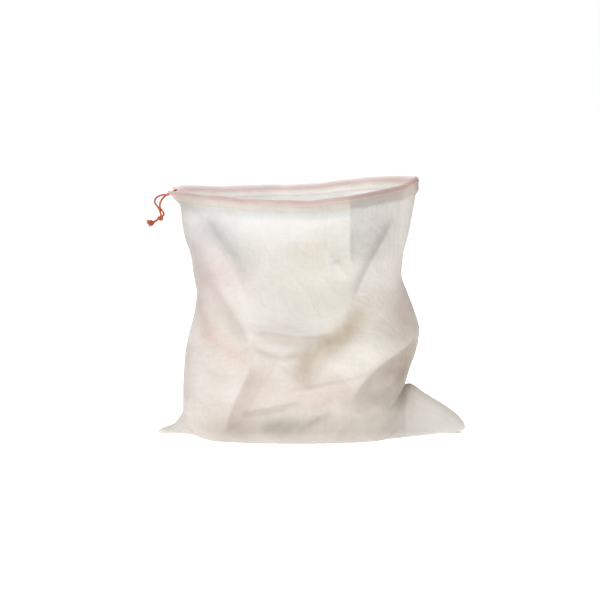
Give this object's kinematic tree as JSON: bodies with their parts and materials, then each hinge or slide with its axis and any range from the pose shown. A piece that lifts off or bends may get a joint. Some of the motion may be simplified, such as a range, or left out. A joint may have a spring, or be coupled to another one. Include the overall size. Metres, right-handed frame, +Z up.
{
  "type": "drawstring mesh laundry bag",
  "caption": "Sheer woven cloth bag standing open, with a folded hem tunnel round the mouth, a drawcord knotted at one end, and flat corners at its base.",
  "frame": {"origin": "centre of the bag's footprint on the floor, the drawcord's loose end not counted", "axes": "+X towards the closed end of the mouth, to the right seen from the front, +Y to the back, +Z up"},
  "size_m": [0.3994, 0.1902, 0.3234],
  "materials": {
    "panel_cloth": "sheer plain weave, matt",
    "hem_cloth": "double layer of the same cloth",
    "seam_cloth": "sewn seam allowance",
    "sewing_thread": "lockstitch thread",
    "drawcord": "soft twisted cord"
  },
  "bodies": {
    "bag": {"front_panel": "panel_cloth", "back_panel": "panel_cloth", "left_side_seam": "seam_cloth", "right_side_seam": "seam_cloth", "bottom_seam": "seam_cloth", "front_casing": "hem_cloth", "back_casing": "hem_cloth", "front_hem_stitching": "sewing_thread", "back_hem_stitching": "sewing_thread", "front_cord_run": "drawcord", "back_cord_run": "drawcord"},
    "drawcord_bend": {"cord_bend": "drawcord"},
    "cord_strands": {"front_strand": "drawcord", "back_strand": "drawcord"},
    "knotted_tail": {"knot": "drawcord", "front_tail": "drawcord", "back_tail": "drawcord"}
  },
  "joints": [
    {"name": "tail_swing", "type": "hinge", "parent": "bag", "child": "cord_strands", "pos_m": [-0.1795, 0, 0.3005], "axis": [0, 1, 0], "range_deg": [-20, 100]},
    {"name": "cord_pull", "type": "slide", "parent": "cord_strands", "child": "knotted_tail", "axis": [-0.3231, 0, -0.9464], "range_m": [0, 0.12], "deforming": ["front_strand", "back_strand"]},
    {"name": "mouth_gather", "type": "slide", "parent": "bag", "child": "drawcord_bend", "axis": [-1, 0, 0], "range_m": [0, 0.12], "deforming": ["front_casing", "back_casing", "front_hem_stitching", "back_hem_stitching", "front_cord_run", "back_cord_run"]}
  ],
  "couplings": [
    {"joint": "mouth_gather", "follows": "cord_pull", "ratio": 1}
  ]
}
